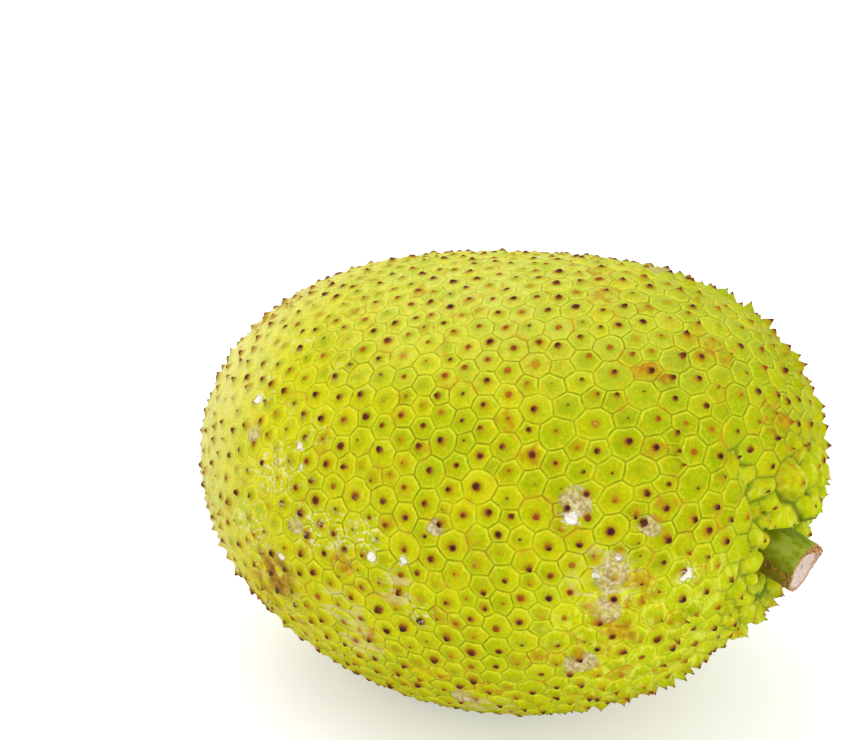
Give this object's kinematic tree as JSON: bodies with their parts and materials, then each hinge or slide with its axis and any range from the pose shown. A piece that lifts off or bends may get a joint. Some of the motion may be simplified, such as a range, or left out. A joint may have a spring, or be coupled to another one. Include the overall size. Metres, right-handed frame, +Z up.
{
  "type": "breadfruit",
  "caption": "Whole oblong breadfruit lying on its side, with polygonal nubbed skin cells and a short cut stem in a folded pit.",
  "frame": {"origin": "middle of the small flat spot that the fruit rests on", "axes": "+Z up, +X towards the stem end along the fruit's length, +Y across it"},
  "size_m": [0.1948, 0.1562, 0.135],
  "materials": {
    "skin": "waxy yellow-green rind of fused cells with brown nubs",
    "bark": "green living bark, paler at the cut"
  },
  "bodies": {
    "root": {"fruit": "skin", "stem": "bark"}
  },
  "joints": []
}
